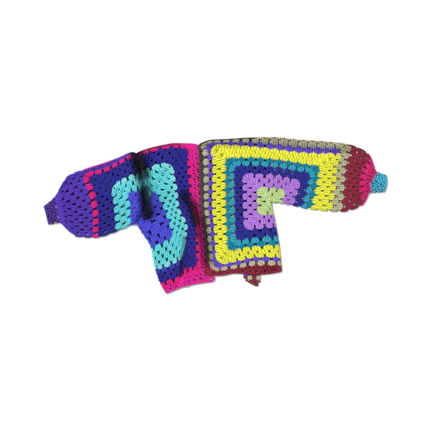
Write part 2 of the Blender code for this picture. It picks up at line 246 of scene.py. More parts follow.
def cloth(half, a, b, face, sewn):
    """The middle of the cloth at (a, b), on the front layer where face is 1, the back where -1.

    Its height runs from the fold's edge to the layer's own as the quarter circle
    sqrt(t (2 - t)), where t is the distance from the fold over TURN. sewn says whether the top
    edge is a fold too. The back layer slips sideways under the front one, and the left back
    stops at the right one's centre edge.
    """
    slip = HALVES[half]["slip"] * smooth(-a / SLIP_RUN) * smooth((a + CENTRE_EDGE) / SLIP_RUN) * (face < 0)
    at = place(half, a + slip, b)
    if half == "left":
        limit = centre_line(at[..., 1]) - CENTRE_GAP
        stop = (face < 0) & (a < -MOTIF + 1)
        at[..., 0] = np.where(stop, np.minimum(at[..., 0], limit), at[..., 0])
    away = np.where(b < 0, np.abs(a), np.where(a > 0, np.abs(b), np.hypot(a, b)))
    away = np.minimum(away, np.where(sewn, np.abs(HALVES[half]["top"] - b), FAR))
    t = np.clip(away * ROW / TURN, 0, 1)
    flat = np.where(face > 0, front_middle(half, a, b), BACK_MIDDLE)
    height = EDGE_MIDDLE + (flat - EDGE_MIDDLE) * np.sqrt(t * (2 - t))
    return np.concatenate([at, height[..., None]], axis=-1)


def unit(v):
    """Vectors made one metre long."""
    return v / np.maximum(np.linalg.norm(v, axis=-1, keepdims=True), 1e-9)


def outward(half, a, b, face, sewn, step=0.12):
    """The cloth's normal, away from its other layer: the cross product of two short steps.

    The left half lies mirrored, so its product points the other way.
    """
    here = cloth(half, a, b, face, sewn)
    up = np.where(sewn & (b > MOTIF / 2), -step, step)
    across = here - cloth(half, a - step, b, face, sewn)
    along = (cloth(half, a, b + up, face, sewn) - here) * np.sign(up)[..., None]
    hand = 1 if half == "right" else -1
    return here, unit(np.cross(across, along) * face[..., None] * hand)


# The six sectors of a motif, each a right angle: r is the distance from the centre and s the
# distance along the side of a round, both in rows.
CENTRE, TOP, SLEEVE, SIDE, BACK_CENTRE, BACK_TOP, TUBE = range(7)


def sector(half, kind, r, s):
    """(a, b) and the layer of the place (r, s) in a sector.

    The centre sectors have a = -r, b = s, and the top ones a = s, b = r. The sleeve's has a = r,
    b = |s|, and turns to the back where s < 0. The hem's has b = -r and turns to the back
    where s passes the side fold: a is the distance from there, stretched so that each corner of
    a round still lies at |a| = r. A tube goes round the sleeve: b rises along the front from the
    underside and falls again along the back.
    """
    shift, top = HALVES[half]["side"], HALVES[half]["top"]
    size = np.maximum(r, 1.2)
    before = -(shift - s) * size / (size + shift)
    after = -(s - shift) * size / (size - shift)
    round_tube = np.mod(s, 2 * top)
    kinds = [kind == k for k in range(7)]
    a = np.select(kinds, [-r, s, r, np.where(s < shift, before, after), -r, s, r])
    b = np.select(kinds, [s, r, np.abs(s), -r, s, r, top - np.abs(top - round_tube)])
    face = np.select(kinds, [
        np.ones_like(s), np.ones_like(s), np.where(s < 0, -1.0, 1.0), np.where(s < shift, 1.0, -1.0),
        -np.ones_like(s), -np.ones_like(s), np.where(round_tube < top, 1.0, -1.0),
    ])
    return a, b, face


# ---------------------------------------------------------------- strands and stitches

PLIES = 3  # yarns twisted together, which show as slanting ridges
# One ridge to the next along a strand. It is about 3 mm in the real yarn, and drawn coarser so
# that it shows in the render.
PLY_PITCH = 8 * MM

# The back layer is pressed flat: what its yarn keeps of its height and of its depth
BACK_HIGH = 0.35
BACK_DEEP = 0.85
# Painted shade on yarn where it faces into the cloth. The back layer's is deeper, and is seen only in
# holes, which it paints dark.
FRONT_INNER = 0.75
BACK_INNER = 1.3
LOW_SIDE = 0.15  # painted shade on a strand starts below this height on its ring, where its top is 1
TIP = 0.7  # how far a strand's rounded end stands out, next to its depth
TIP_DARK = 0.3  # how much painted shade darkens the end


def strands(half, kind, r, s, high, wide, deep, dark, sides, yarn, sewn=False):
    """Closed strands of yarn on the cloth, one for each row of the arrays r and s.

    A ring's centre stands high above the cloth's middle, along the cloth's normal. dark is the
    painted shade of each ring, to which the painted shade of the creases is added on the front.
    """
    kind = np.broadcast_to(np.asarray(kind)[..., None], r.shape)
    a, b, face = sector(half, kind, r, s)
    middle, normal = outward(half, a, b, face, np.broadcast_to(sewn, r.shape))
    low = np.where(face > 0, 1.0, BACK_HIGH)[..., None]
    centre = middle + normal * np.broadcast_to(high, r.shape)[..., None] * low
    thin = np.where(face > 0, 1.0, BACK_DEEP)
    inner = np.where(face > 0, FRONT_INNER, BACK_INNER)
    return tubes(
        centre, normal, np.broadcast_to(wide, r.shape), np.broadcast_to(deep, r.shape) * thin,
        np.broadcast_to(dark, r.shape) + painted_crease_shade(middle) * (face > 0), inner, sides, yarn,
    )


# Painted shade along the creases, darkening the front layer's colour where shade falls: two ends, half
# width, all in millimetres from the middle of the garment, and how deep the painted shade is there
PAINTED_CREASE_SHADES = (
    (-260, 214, -240, 134, 30, 1.0),  # from the shoulder down, on the left half
    (-238, 134, -230, 84, 14, 0.7),
    (-231, 84, -222, 4, 26, 1.0),  # the hollow over the underarm
    (-96, -74, -109, -140, 9, 0.55),  # the tuck above the left hem
    (-109, -140, -111, -198, 7, 0.8),
    (-100, 66, -74, 30, 22, 0.8),  # beside the left front edge
    (-74, 30, -58, -22, 22, 0.95),
    (-58, -22, -50, -70, 16, 0.7),
    (-46, -20, -28, -150, 24, 0.65),  # along the right front edge
    (-30, 233, 196, 240, 15, 0.35),  # where the right half's top turns over
    (196, 240, 440, 212, 15, 0.35),
)


def painted_crease_shade(at):
    """Painted crease shade of a place on the front: the most of shade * smooth(1.3 - distance
    / half width), which is full out to 0.3 of the half width.
    """
    found = np.zeros(at.shape[:-1])
    for x0, y0, x1, y1, half_width, shade in PAINTED_CREASE_SHADES:
        start, run = np.array([x0, y0]) * MM, np.array([x1 - x0, y1 - y0]) * MM
        t = np.clip(((at[..., :2] - start) @ run) / (run @ run), 0, 1)
        off = np.linalg.norm(at[..., :2] - start - t[..., None] * run, axis=-1)
        found = np.maximum(found, shade * smooth(1.3 - off / (half_width * MM)))
    return found


def tubes(centre, normal, wide, deep, dark, inner, sides, yarn):
    """Vertices, faces, UVs and shade of closed tubes along the rows of centre.

    A ring's points are centre + wide cos(w) across + deep sin(w) up, where across lies in the
    cloth. Its painted shade is its dark, and up to inner more where it faces into the cloth.
    """
    along = unit(np.gradient(centre, axis=1))
    across = unit(np.cross(along, normal))
    up = np.cross(across, along)
    w = 2 * np.pi * np.arange(sides) / sides
    ring = (
        centre[:, :, None]
        + (wide[..., None] * np.cos(w))[..., None] * across[:, :, None]
        + (deep[..., None] * np.sin(w))[..., None] * up[:, :, None]
    )
    ends = np.stack([
        centre[:, 0] - along[:, 0] * deep[:, :1] * TIP,
        centre[:, -1] + along[:, -1] * deep[:, -1:] * TIP,
    ], axis=1)
    shade = dark[..., None] + inner[..., None] * np.maximum(LOW_SIDE - np.sin(w), 0)
    side = np.arange(sides)
    return skin(
        ring, ends, shade, dark[:, [0, -1]] + TIP_DARK, centre,
        PLIES * side / sides, PLIES * (side + 1) / sides, yarn,
    )


def skin(ring, ends, shade, tips, line, before, after, yarn):
    """Vertices, faces, UVs and shade of closed bodies, each a row of rings with a tip at each end.

    Along a body its UV grows by one for each PLY_PITCH of the row line, and across it runs
    from before to after over each edge of a ring.
    """
    n, k, sides = ring.shape[:3]
    points = np.concatenate([ring.reshape(n, k * sides, 3), ends], axis=1)
    points[..., 2] = np.maximum(points[..., 2], FLOOR)
    shade = np.clip(np.concatenate([shade.reshape(n, -1), tips], axis=1), 0, 1)
    i, j = (x.ravel() for x in np.meshgrid(np.arange(k - 1), np.arange(sides), indexing="ij"))
    on = (j + 1) % sides
    quads = np.stack([i * sides + j, (i + 1) * sides + j, (i + 1) * sides + on, i * sides + on], 1)
    side, next_side = np.arange(sides), (np.arange(sides) + 1) % sides
    last = (k - 1) * sides
    fans = np.concatenate([
        np.stack([np.full(sides, k * sides), side, next_side], 1),
        np.stack([np.full(sides, k * sides + 1), last + next_side, last + side], 1),
    ])
    far = np.concatenate([
        np.zeros((n, 1)), np.cumsum(np.linalg.norm(np.diff(line, axis=1), axis=2), axis=1)
    ], axis=1) / PLY_PITCH
    quad_far = far[:, np.stack([i, i + 1, i + 1, i], 1)]
    quad_turn = np.stack([before[j], before[j], after[j], after[j]], 1)
    fan_far = np.concatenate([np.repeat(far[:, :1], sides, 1), np.repeat(far[:, -1:], sides, 1)], 1)
    half_way = (before + after) / 2
    fan_turn = np.concatenate([
        np.stack([half_way, before, after], 1), np.stack([half_way, after, before], 1)
    ])
    start = (np.arange(n) * points.shape[1])[:, None, None]
    return {
        "points": points.reshape(-1, 3),
        "shade": shade.ravel(),
        "quads": (quads[None] + start).reshape(-1, 4),
        "fans": (fans[None] + start).reshape(-1, 3),
        "quad_uv": np.stack([
            quad_far + quad_turn[None], np.broadcast_to(quad_turn[None], quad_far.shape)
        ], -1).reshape(-1, 2),
        "fan_uv": np.stack([
            fan_far[..., None] + fan_turn[None],
            np.broadcast_to(fan_turn[None], (n, *fan_turn.shape)),
        ], -1).reshape(-1, 2),
        "quad_yarn": np.repeat(yarn, len(quads)),
        "fan_yarn": np.repeat(yarn, len(fans)),
    }


def piece(name, sets):
    """One mesh of all the strands of a piece, in place of the CAD node of its name."""
    offset = np.cumsum([0] + [len(x["points"]) for x in sets[:-1]])
    points = np.concatenate([x["points"] for x in sets])
    quads = np.concatenate([x["quads"] + o for x, o in zip(sets, offset)])
    fans = np.concatenate([x["fans"] + o for x, o in zip(sets, offset)])
    yarns = np.concatenate([x["quad_yarn"] for x in sets] + [x["fan_yarn"] for x in sets])
    used, slots = np.unique(yarns, return_inverse=True)
    mesh = bpy.data.meshes.new("crochet_" + name)
    mesh.vertices.add(len(points))
    mesh.vertices.foreach_set("co", points.astype(np.float32).ravel())
    mesh.loops.add(quads.size + fans.size)
    mesh.loops.foreach_set("vertex_index", np.concatenate([quads.ravel(), fans.ravel()]).astype(np.int32))
    mesh.polygons.add(len(quads) + len(fans))
    starts = np.concatenate([np.arange(len(quads)) * 4, quads.size + np.arange(len(fans)) * 3])
    mesh.polygons.foreach_set("loop_start", starts.astype(np.int32))
    mesh.polygons.foreach_set("material_index", slots.astype(np.int32))
    mesh.polygons.foreach_set("use_smooth", np.ones(len(starts), bool))
    mesh.update(calc_edges=True)
    uv = mesh.uv_layers.new(name="twist")
    flat = np.concatenate([x["quad_uv"] for x in sets] + [x["fan_uv"] for x in sets])
    uv.data.foreach_set("uv", flat.astype(np.float32).ravel())
    shade = mesh.attributes.new("shade", "FLOAT", "POINT")
    shade.data.foreach_set("value", np.concatenate([x["shade"] for x in sets]).astype(np.float32))
    for index in used:
        mesh.materials.append(YARN[YARN_NAMES[index]])
    thing = bpy.data.objects.new("crochet_" + name, mesh)
    bpy.context.scene.collection.objects.link(thing)
    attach(thing, "root")
    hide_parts(name)
    return thing


# A group of three double crochets, ring by ring from its foot to its head
RISE = np.array([-1.12, -0.82, -0.42, 0.02, 0.30])  # rows from the round's outer edge
BOW = np.array([0.08, 0.03, 0.0, -0.03, -0.12])  # how far the outer posts lie past that, in rows
SPREAD = np.array([0.0, 0.32, 0.44, 0.46, 0.32])  # the outer posts' middles from the group's, in rows
HIGH = np.array([-0.3, 0.4, 0.8, 0.6, -0.1]) * MM
WIDE = np.array([2.6, 3.6, 4.2, 4.2, 3.0]) * MM
DEEP = np.array([1.5, 1.8, 2.0, 1.9, 1.5]) * MM
# painted shade of each ring: darker at the foot, which dives into the round below, and at the head
DARK = np.array([0.28, 0.08, 0.0, 0.0, 0.12])
FOOT = 0.14  # how far the outer posts' feet stand from the middle one's, in rows
WIDE_FOOT = 0.36  # the same on the back layer, and where a round closes its gaps
CORE = 0.14  # how near to the motif's centre a group may start, in rows
CORNER_LEAN = 0.4  # the most that a corner group's head leans back along its side, in rows
CORNER_PUSH = 0.22  # how much further out it stands in the outer rounds, in rows
CHAIN_HIGH = 1.3 * MM
CHAIN_WIDE = np.array([1.2, 1.7, 1.9, 2.0, 1.9, 1.7, 1.2]) * MM
CHAIN_DEEP = 1.2 * MM

# A ring of it: three posts side by side, the yarn between them sunk, and a flat underside. The
# fifteen points run from one side over the posts to the other and back below.
LOBE_X = np.array([1, 0.93, 0.67, 0.42, 0.33, 0.22, 0, -0.22, -0.33, -0.42, -0.67, -0.93, -1, -0.5, 0.5])
LOBE_Y = np.array([0, 0.6, 0.92, 0.6, 0.05, 0.65, 1, 0.65, 0.05, 0.6, 0.92, 0.6, 0, -0.8, -0.8])
# painted shade: darker in the sunk yarn between the posts and at the sides
LOBE_DARK = np.array([0.2, 0, 0, 0.12, 0.7, 0.12, 0, 0.12, 0.7, 0.12, 0, 0, 0.2, 0, 0])
MIDDLE_POST = 6  # which point is the top of the middle one
UNDER = np.array([0.15] + [0] * 11 + [0.15, 1, 1])  # how far each point faces into the cloth, which sets its painted shade
SLANT = np.array([0.9, 0.5, 0.0, -0.5, -0.9])  # of the plies across one post, in ridges


def handed(half, kind, n, s, sewn):
    """1 where a ring that starts on the side of growing s turns outwards, and -1 elsewhere."""
    spots = []
    for dr, ds in ((0, 0), (0.1, 0), (0, 0.1)):
        a, b, face = sector(half, kind, n - 0.5 + dr, s + ds + 0.01)
        spots.append(outward(half, a, b, face, np.broadcast_to(sewn, a.shape)))
    here, normal = spots[0]
    turn = np.cross(spots[1][0] - here, spots[2][0] - here)
    return np.where((turn * normal).sum(axis=-1) < 0, 1.0, -1.0)


def groups(half, kind, n, s, yarn, size=1.0, sewn=False, foot=FOOT, tall=1.0):
    """Groups of three double crochets at s on round n, each with the chain along its head.

    A group is one lobed body. Its rings lie at r = n + RISE tall + BOW x^2 and s + reach x for
    x from -1 to 1, where reach is SPREAD or the foot's, plus WIDE, times size. So it starts low in
    the gap of the round before, swells, and leans out. The chain lies on it at r = n + 0.24 -
    0.30 x^2 + 0.03 cos(3 pi x) and s + 0.56 size x. The two groups at a corner share its chain
    loop, so they start wide and stand away from each other: they lean more by 1/25 row a round,
    and are pushed out from round 4 on, fully from round 12. Those of the back layer lie
    flatter and wider, so that they close the holes of the front.
    """
    kind, n, s, yarn, size, foot = (
        np.ravel(x) for x in np.broadcast_arrays(kind, n, s, yarn, size, foot)
    )
    face = sector(half, kind, n - 0.5, s + 0.01)[2]
    size = np.where(face > 0, size, HALVES[half]["back"])
    foot = np.where(face > 0, foot, WIDE_FOOT)
    corner = (np.abs(s) > n - 1.5) & (n > 1) & (kind < TUBE)
    lean = np.sign(s) * corner * np.clip(n / 25, 0.0, CORNER_LEAN)
    push = corner * CORNER_PUSH * np.clip((n - 4) / 8, 0, 1)
    t = np.linspace(0, 1, 5)
    base = s - 0.2 * lean
    top = s - lean
    feet = np.where(corner, HALVES[half]["feet"], foot)[:, None] * np.array([1.0, 1.1, 0, 0, 0])
    reach = (np.maximum(SPREAD, feet) + WIDE / ROW) * size[:, None]
    r = np.maximum((n + push)[:, None] + RISE * tall, CORE)[..., None] + BOW[:, None] * LOBE_X**2
    middle_s = base[:, None] + (top - base)[:, None] * t
    across = middle_s[..., None] + (reach * handed(half, kind, n, s, sewn)[:, None])[..., None] * LOBE_X
    kinds = np.broadcast_to(kind[:, None, None], r.shape)
    a, b, face = sector(half, kinds, r, across)
    middle, normal = outward(half, a, b, face, np.broadcast_to(sewn, r.shape))
    height = HIGH[:, None] * np.where(face > 0, 1.0, BACK_HIGH)
    height = height + DEEP[:, None] * LOBE_Y * np.where(face > 0, 1.0, BACK_DEEP)
    ring = middle + normal * height[..., None]
    # painted shade: the rings', the sunk yarn's, the underside's and the creases'
    shade = DARK[:, None] + LOBE_DARK + UNDER * np.where(face > 0, FRONT_INNER, BACK_INNER)
    shade = shade + painted_crease_shade(middle) * (face > 0)
    posts = skin(
        ring, ring[:, [0, -1]].mean(axis=2), shade, shade[:, [0, -1], MIDDLE_POST] + TIP_DARK,
        ring[:, :, MIDDLE_POST], np.append(np.tile(SLANT[:-1], 3), [0, 0, 0]),
        np.append(np.tile(SLANT[1:], 3), [0, 0, 0]), yarn,
    )
    x = np.linspace(-1, 1, 7)
    head_r = (n + push)[:, None] + 0.24 - 0.30 * x**2 + 0.03 * np.cos(3 * np.pi * x)
    head_s = top[:, None] + 0.56 * size[:, None] * x
    head = strands(
        half, kind, head_r, head_s, CHAIN_HIGH, CHAIN_WIDE, CHAIN_DEEP, 0.0, 5, yarn, sewn,
    )
    return [posts, head]


CORNER_ARC = np.array([0.12, 0.10, -0.15, -0.5, -1.2])  # from a round's edge, in rows


def corner_chains(half, choose):
    """The chain at each corner of each round: an arc from one side's last group to the next.

    In the sector's rows it passes (n + 0.1, n - 0.5), (n - 0.15, n - 0.15) and
    (n - 0.5, n + 0.1), on the side that hand gives.
    """
    sets = []
    n = np.arange(1, MOTIF + 1)
    r = n[:, None] + CORNER_ARC
    s = n[:, None] + CORNER_ARC[::-1]
    for kind, hand in ((CENTRE, 1), (CENTRE, -1), (TOP, 1)):
        # each chain carries a light painted shade
        sets.append(strands(
            half, np.full(MOTIF, kind), np.maximum(r, 0.1), s * hand,
            np.array([0.4, 1.0, 1.0, 1.0, 0.4]) * MM, 2.4 * MM, 1.7 * MM, 0.05, 5,
            choose(np.full(MOTIF, kind), n, n * hand),
        ))
    return sets


# A leg of a single crochet, ring by ring from its foot to its head
LEG_HIGH = np.array([-0.4, 0.9, 0.2]) * MM
LEG_WIDE = np.array([1.6, 2.5, 1.9]) * MM
LEG_DEEP = np.array([1.0, 1.4, 1.1]) * MM
# painted shade of each ring of a leg: the foot, which dives into the row below, is darkest
LEG_DARK = np.array([0.3, 0.0, 0.05])
PITCH = 0.6  # of its stitches, in rows; the real ones are about half as wide
WANDER = 0.22  # hand work is never even: how far a stitch strays, in rows of stitches
SWING = 0.07  # how far each of the two edge strands weaves to either side, in rows


def close_rows(half, kind, inner, outer, rows, starts, ends, yarn, pitch=PITCH, sewn=False):
    """Rows of single crochet between two round lines, each stitch a V of two legs.

    A leg runs from its stitch's foot up and outwards by a third of the pitch, and every other row
    stands half a stitch on. A stitch strays by WANDER sin(2.3 j + 4.1 i), the j-th of row i, and the
    back layer's lie half a row out. A plaited chain closes the outer edge, and two strands
    close the ends, which a tube doesn't have.
    """
    count = max(2, int(round((ends - starts) / pitch)))
    step = (ends - starts) / count
    i, j = (x.ravel() for x in np.meshgrid(np.arange(rows), np.arange(count), indexing="ij"))
    high = (outer - inner) / rows
    t = np.array([0, 0.5, 1.0])
    sets = []
    for hand in (-1, 1):
        wander = WANDER * np.sin(2.3 * j + 4.1 * i)[:, None]
        s = starts + (j[:, None] + 0.5 + 0.25 * (-1.0) ** i[:, None]) * step
        s = s + hand * step * (0.05 + 0.3 * t) + 0.2 * step * wander
        back = sector(half, np.full(s.shape, kind), inner + 0 * s, s)[2] < 0
        r = inner + (i[:, None] + t * 1.1 + wander + 0.5 * back) * high
        r = np.clip(r, inner - 0.2, outer)
        sets.append(strands(
            half, np.full(len(i), kind), r, np.clip(s, starts, ends), LEG_HIGH, LEG_WIDE, LEG_DEEP,
            LEG_DARK, 5, np.full(len(i), yarn), sewn,
        ))
    links = count * 2 + 1
    x = np.linspace(starts, ends, links)
    swing = np.where(np.arange(links) % 2 == 0, SWING, -SWING)
    # the edge chain and the end strands carry a light painted shade
    sets.append(strands(
        half, np.full(2, kind), np.stack([outer + swing, outer - swing]), np.stack([x, x]),
        0.2 * MM, 1.6 * MM, 1.3 * MM, 0.1, 5, np.full(2, yarn), sewn,
    ))
    if kind < TUBE:
        across = np.tile(np.linspace(inner, outer, 9), (2, 1))
        sets.append(strands(
            half, np.full(2, kind), across, np.array([[starts], [ends]]) + 0 * across,
            0.2 * MM, 1.8 * MM, 1.4 * MM, 0.05, 5, np.full(2, yarn), sewn,
        ))
    return sets


# ---------------------------------------------------------------- yarns

def linear(code):
    """Linear colour of an sRGB hex code."""
    channel = np.array([int(code[k:k + 2], 16) for k in (1, 3, 5)]) / 255
    return (*np.where(channel <= 0.04045, channel / 12.92, ((channel + 0.055) / 1.055) ** 2.4), 1.0)


def node(tree, kind, links=(), **settings):
    """A node with its settings, and links from (node, output) to its inputs."""
    made = tree.nodes.new(kind)
    for key, value in settings.items():
        if key.startswith("in_"):
            made.inputs[key[3:].replace("_", " ")].default_value = value
        else:
            setattr(made, key, value)
    for target, (source, output) in dict(links).items():
        tree.links.new(source.outputs[output], made.inputs[target])
    return made


DEPTH = 0.32  # what is left of most colours' light in the painted shade of the ply grooves and in the darker tufts
# Tufts of fibre, their colour partly random and partly painted shade between strands, and the fuzz on
# them.
# Single fibres are about 0.02 mm, and both are drawn coarser so that they show in the render.
TUFT = 2.5 * MM
FUZZ = 1.2 * MM
PLY_BUMP = 1.2 * MM
FUZZ_BUMP = 0.35 * MM


def yarn_material(name, code, deep, depth=DEPTH):
    """Acrylic aran yarn, spun and crocheted.

    It gives a soft dull surface with a pale fuzz at its edges, slanting plies, and painted
    shade where the stitches dive into the cloth: the shade attribute leads there from the colour
    code to deep, the yarn's painted shade colour. depth is what is left of the colour's light in
    the painted shade of the ply grooves and in the darker tufts.
    """
    material = bpy.data.materials.new(name)
    material.use_nodes = True
    tree = material.node_tree
    shader = tree.nodes["Principled BSDF"]
    shader.inputs["Roughness"].default_value = 0.88
    shader.inputs["Specular IOR Level"].default_value = 0.15
    shader.inputs["Sheen Weight"].default_value = 0.08
    shader.inputs["Sheen Roughness"].default_value = 0.4
    places = node(tree, "ShaderNodeTexCoord")
    # a wave has a period of pi / 10 at scale 1, so this makes one ridge for each unit of UV
    plies = node(
        tree, "ShaderNodeTexWave", {"Vector": (places, "UV")}, wave_type="BANDS",
        bands_direction="X", in_Scale=np.pi / 10, in_Distortion=1.2, in_Detail=2.0,
        in_Detail_Scale=3.0,
    )
    fibres = node(
        tree, "ShaderNodeTexNoise", {"Vector": (places, "Object")}, in_Scale=1 / TUFT,
        in_Detail=2.0, in_Roughness=0.6,
    )
    # painted shade in the grooves between plies, added to tufts whose tone varies at random and stands in
    # for shade between strands
    lit = node(
        tree, "ShaderNodeMath", {0: (fibres, "Fac"), 1: (plies, "Fac")}, operation="ADD",
    )
    groove_and_tuft_shade = node(
        tree, "ShaderNodeMapRange", {"Value": (lit, "Value")}, in_From_Min=0.55, in_From_Max=1.05,
    )
    light = linear(code)
    dim = tuple(depth * c for c in light[:3]) + (1.0,)
    shades = node(tree, "ShaderNodeMix", {"Factor": (groove_and_tuft_shade, "Result")}, data_type="RGBA")
    shades.inputs[6].default_value = dim
    shades.inputs[7].default_value = light
    shade = node(tree, "ShaderNodeAttribute", attribute_name="shade")
    # painted shade: the shade attribute mixes the colour towards deep
    whole = node(tree, "ShaderNodeMix", {"Factor": (shade, "Fac")}, data_type="RGBA")
    tree.links.new(shades.outputs[2], whole.inputs[6])
    whole.inputs[7].default_value = linear(deep)
    tree.links.new(whole.outputs[2], shader.inputs["Base Color"])
    fuzz = node(
        tree, "ShaderNodeTexNoise", {"Vector": (places, "Object")}, in_Scale=1 / FUZZ,
        in_Detail=3.0,
    )
    lumps = node(
        tree, "ShaderNodeBump", {"Height": (plies, "Fac")}, in_Strength=0.9, in_Distance=PLY_BUMP,
    )
    surface = node(
        tree, "ShaderNodeBump", {"Height": (fuzz, "Fac"), "Normal": (lumps, "Normal")},
        in_Strength=0.5, in_Distance=FUZZ_BUMP,
    )
    tree.links.new(surface.outputs["Normal"], shader.inputs["Normal"])
    return material


# Each yarn's colour in the light, its painted shade colour where the shade attribute is full, and its
# depth where that isn't DEPTH
YARN_COLOURS = {
    "sage": ("#D8F6A2", "#26301A", 0.45),
    "lilac": ("#D08EFF", "#281838", 0.4),
    "indigo": ("#3636AC", "#05041C"),
    "light_teal": ("#3CC0DC", "#041A22"),
    "dark_teal": ("#149EC0", "#02161E"),
    "yellow": ("#FFFF46", "#5A500C", 0.6),
    "violet": ("#805AFF", "#0C061E"),
    "khaki": ("#DCD8AC", "#221F12"),
    "charcoal": ("#5E5854", "#070505", 0.2),
    "burgundy": ("#AC304A", "#180206", 0.25),
    "rose": ("#FF2486", "#380416", 0.65),
    "cuff_teal": ("#52D2F4", "#061C26"),
    "blue": ("#5C5CFC", "#070628"),
    "cyan": ("#72F8FF", "#0A343E", 0.42),
    "pale_cyan": ("#96FFFF", "#0E3C44", 0.45),
    "mid_blue": ("#4A50D4", "#060722"),
    "navy": ("#3834B0", "#020110", 0.22),
    "hot_pink": ("#FF2088", "#300414", 0.6),
    "magenta": ("#FF28AA", "#300418", 0.6),
    "plum": ("#B02474", "#1A0412"),
    "purple": ("#6844D6", "#090420"),
    "dark_purple": ("#6440B4", "#080418"),
}
YARN_NAMES = list(YARN_COLOURS)
YARN = {key: yarn_material("acrylic_yarn_" + key, *codes) for key, codes in YARN_COLOURS.items()}
INDEX = {key: k for k, key in enumerate(YARN_NAMES)}


def right_yarn(kind, n, s):
    """Which yarn each group of the right motif has, by its round."""
    rounds = ["sage"] * 3 + ["lilac"] * 3 + ["indigo"] * 2 + ["light_teal", "dark_teal"]
    rounds += ["yellow"] * 3 + ["violet", "khaki", "khaki"]
    found = np.array([INDEX[key] for key in rounds])[n - 1]
    return np.where((kind == SLEEVE) & (n == 14), INDEX["yellow"], found)


def left_yarn(kind, n, s):
    """Which yarn each group of the left motif has, by its round and sector."""
    rounds = ["blue"] * 5 + ["cyan"] * 4 + ["pale_cyan"] + ["navy"] * 4 + ["hot_pink"]
    found = np.array([INDEX[key] for key in rounds])[n - 1]
    wide_blue = (kind == SLEEVE) | (((kind == TOP) | (kind == BACK_TOP)) & (s > 0))
    found = np.where(wide_blue & (n > 5) & (n < 8), INDEX["blue"], found)
    found = np.where((kind == SLEEVE) & (n == 10), INDEX["cyan"], found)
    return np.where((kind == SIDE) & (n == 11), INDEX["mid_blue"], found)


# How wide the groups of each round spread: the looser yarns fill their gaps
FULLNESS = {
    "right": ((10, 10.5, 13, 13.5), (1.03, 1.13, 1.13, 1.0)),
    "left": ((10, 10.5, 14, 14.5), (1.0, 1.08, 1.08, 1.0)),
}
YELLOW_TOP = 1.3  # how wide the right motif's yellow groups spread along the top


def motif(half, choose, ends):
    """All the groups of a folded motif, n of them along each sector's side of round n.

    The sleeve's sector has rounds up to ends.
    """
    kind, n, s = [], [], []
    for k in (CENTRE, TOP, SLEEVE, SIDE, BACK_CENTRE, BACK_TOP):
        for n_here in range(1, (ends if k == SLEEVE else MOTIF) + 1):
            here = np.arange(-(n_here - 1), n_here, 2)
            kind.append(np.full(len(here), k))
            n.append(np.full(len(here), n_here))
            s.append(here)
    kind, n, s = (np.concatenate(x) for x in (kind, n, s))
    full = np.interp(n, *FULLNESS[half])
    foot = np.full(n.shape, FOOT)
    if half == "right":
        yellow = (n > 10) & (n < 14)
        full = np.where(yellow & (kind == TOP), YELLOW_TOP, full)
        foot = np.where(yellow & (kind != CENTRE), WIDE_FOOT, foot)
    works = groups(half, kind, n, s.astype(float), choose(kind, n, s), full, foot=foot)
    return works + corner_chains(half, choose)


TUBE_GROUPS = 16  # groups in a round of the sleeve


def tube_rows(half, first, last, key, size=1.0):
    """Rounds of groups round the sleeve, first to last, each round half a step on."""
    pitch = 2 * HALVES[half]["top"] / TUBE_GROUPS
    n = np.repeat(np.arange(first, last + 1), TUBE_GROUPS)
    s = (np.tile(np.arange(TUBE_GROUPS), last - first + 1) + 0.5 * (n % 2 == 0)) * pitch
    return groups(half, TUBE, n, s, INDEX[key], size, sewn=True)


def round_sleeve(half, inner, outer, rounds, stitches, key):
    """Close rounds of single crochet about the sleeve."""
    top = HALVES[half]["top"]
    return close_rows(
        half, TUBE, inner, outer, rounds, 0, 2 * top, INDEX[key], pitch=2 * top / stitches, sewn=True,
    )


WHIP_PITCH = 0.4  # from one sewing stitch to the next, in rows


def whip(half, kind, starts, ends, inner, outer, key):
    """Slanting stitches over a sewn edge, from round line inner to outer."""
    s = np.arange(starts, ends, WHIP_PITCH)
    t = np.linspace(0, 1, 4)
    # each stitch carries painted shade at its foot, where it dives under the edge
    return [strands(
        half, np.full(len(s), kind), inner + (outer - inner) * t + 0 * s[:, None],
        s[:, None] + 0.35 * t, np.array([0.2, 1.2, 1.2, 0.2]) * MM, 1.6 * MM, 1.5 * MM,
        np.array([0.3, 0.0, 0.0, 0.0]), 5, np.full(len(s), INDEX[key]), True,
    )]


# The corner of the right back hem that shows below the front: x, foot y, in millimetres
CORNER_FOOT = ((92, -204), (104, -219), (120, -228), (137, -237), (145, -229), (150, -206))
CORNER_HEAD = ((92, -190.6), (150, -193.5))
CORNER_COLUMNS = (96, 149)  # the first of its columns of stitches, and where they end
CORNER_PITCH = 7.2  # from one column to the next, and the length of a leg
CORNER_ROW = 7.4  # height of a row of its stitches, about
CORNER_GROUPS = ((101, -193, "violet"), (115.5, -206, "khaki"), (144, -206, "khaki"))
CORNER_CLEAR = 7.5  # how far from a group's middle there are no other stitches
GROUP_LONG = 14  # length of its strands
GROUP_ROW = 11  # what a row of SPREAD measures in it
GROUP_WIDE, GROUP_DEEP = 0.62, 0.8  # its strands' width and depth, next to a whole group's


